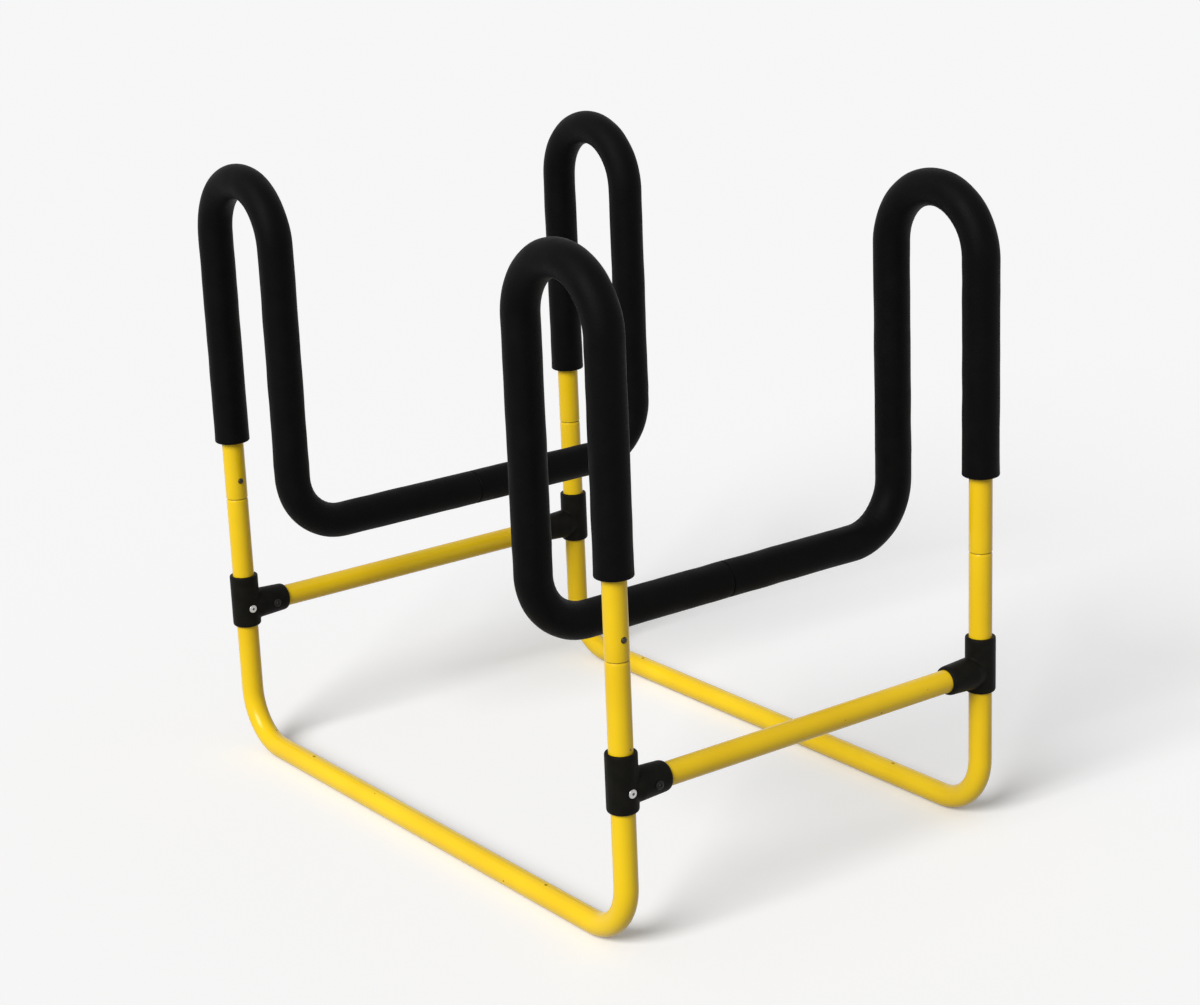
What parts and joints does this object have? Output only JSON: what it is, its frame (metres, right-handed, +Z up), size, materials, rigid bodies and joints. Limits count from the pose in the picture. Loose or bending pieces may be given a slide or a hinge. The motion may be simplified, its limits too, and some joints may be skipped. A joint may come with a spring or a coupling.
{
  "type": "paddleboard storage rack",
  "caption": "Free-standing tubular floor rack with padded hooks and cradles that hold a paddleboard on its side edge.",
  "frame": {"origin": "on the floor, under the middle of the rack", "axes": "+X to the rack's right as seen from its front, the side of the first floor frame; +Y from the front frame to the rear one; +Z up"},
  "size_m": [0.7892, 0.5292, 0.7206],
  "materials": {
    "yellow_gloss_paint": "gloss",
    "black_foam": "matte",
    "charcoal_moulding": "satin",
    "aluminium_rivet": "satin",
    "blackened_rivet": "satin",
    "dark_zinc": "satin",
    "spring_steel": "satin"
  },
  "bodies": {
    "base": {"front_floor_frame": "yellow_gloss_paint", "rear_floor_frame": "yellow_gloss_paint", "left_side_rail": "yellow_gloss_paint", "right_side_rail": "yellow_gloss_paint", "front_left_tee_bracket": "charcoal_moulding", "front_left_leg_rivet": "aluminium_rivet", "front_left_rail_rivet": "blackened_rivet", "front_left_snap_spring": "spring_steel", "front_right_tee_bracket": "charcoal_moulding", "front_right_leg_rivet": "aluminium_rivet", "front_right_rail_rivet": "blackened_rivet", "front_right_snap_spring": "spring_steel", "rear_left_tee_bracket": "charcoal_moulding", "rear_left_leg_rivet": "aluminium_rivet", "rear_left_rail_rivet": "blackened_rivet", "rear_left_snap_spring": "spring_steel", "rear_right_tee_bracket": "charcoal_moulding", "rear_right_leg_rivet": "aluminium_rivet", "rear_right_rail_rivet": "blackened_rivet", "rear_right_snap_spring": "spring_steel"},
    "left_arm": {"left_arm_tube": "yellow_gloss_paint", "left_front_foam_sleeve": "black_foam", "left_rear_foam_sleeve": "black_foam"},
    "right_arm": {"right_arm_tube": "yellow_gloss_paint", "right_front_foam_sleeve": "black_foam", "right_rear_foam_sleeve": "black_foam"},
    "front_left_button": {"front_left_snap_button": "dark_zinc"},
    "front_right_button": {"front_right_snap_button": "dark_zinc"},
    "rear_left_button": {"rear_left_snap_button": "dark_zinc"},
    "rear_right_button": {"rear_right_snap_button": "dark_zinc"}
  },
  "joints": [
    {"name": "left_arm_lift", "type": "slide", "parent": "base", "child": "left_arm", "axis": [0, 0, 1], "range_m": [0, 0.08], "deforming": ["front_left_snap_button", "rear_left_snap_button"]},
    {"name": "right_arm_lift", "type": "slide", "parent": "base", "child": "right_arm", "axis": [0, 0, 1], "range_m": [0, 0.08], "deforming": ["front_right_snap_button", "rear_right_snap_button"]},
    {"name": "front_left_button_press", "type": "slide", "parent": "base", "child": "front_left_button", "axis": [-1, 0, 0], "range_m": [0, 0.0037], "stiffness_N_per_m": 1500, "springref_m": -0.002, "deforming": ["front_left_snap_spring"]},
    {"name": "front_right_button_press", "type": "slide", "parent": "base", "child": "front_right_button", "axis": [-1, 0, 0], "range_m": [0, 0.0037], "stiffness_N_per_m": 1500, "springref_m": -0.002, "deforming": ["front_right_snap_spring"]},
    {"name": "rear_left_button_press", "type": "slide", "parent": "base", "child": "rear_left_button", "axis": [1, 0, 0], "range_m": [0, 0.0037], "stiffness_N_per_m": 1500, "springref_m": -0.002, "deforming": ["rear_left_snap_spring"]},
    {"name": "rear_right_button_press", "type": "slide", "parent": "base", "child": "rear_right_button", "axis": [1, 0, 0], "range_m": [0, 0.0037], "stiffness_N_per_m": 1500, "springref_m": -0.002, "deforming": ["rear_right_snap_spring"]}
  ]
}
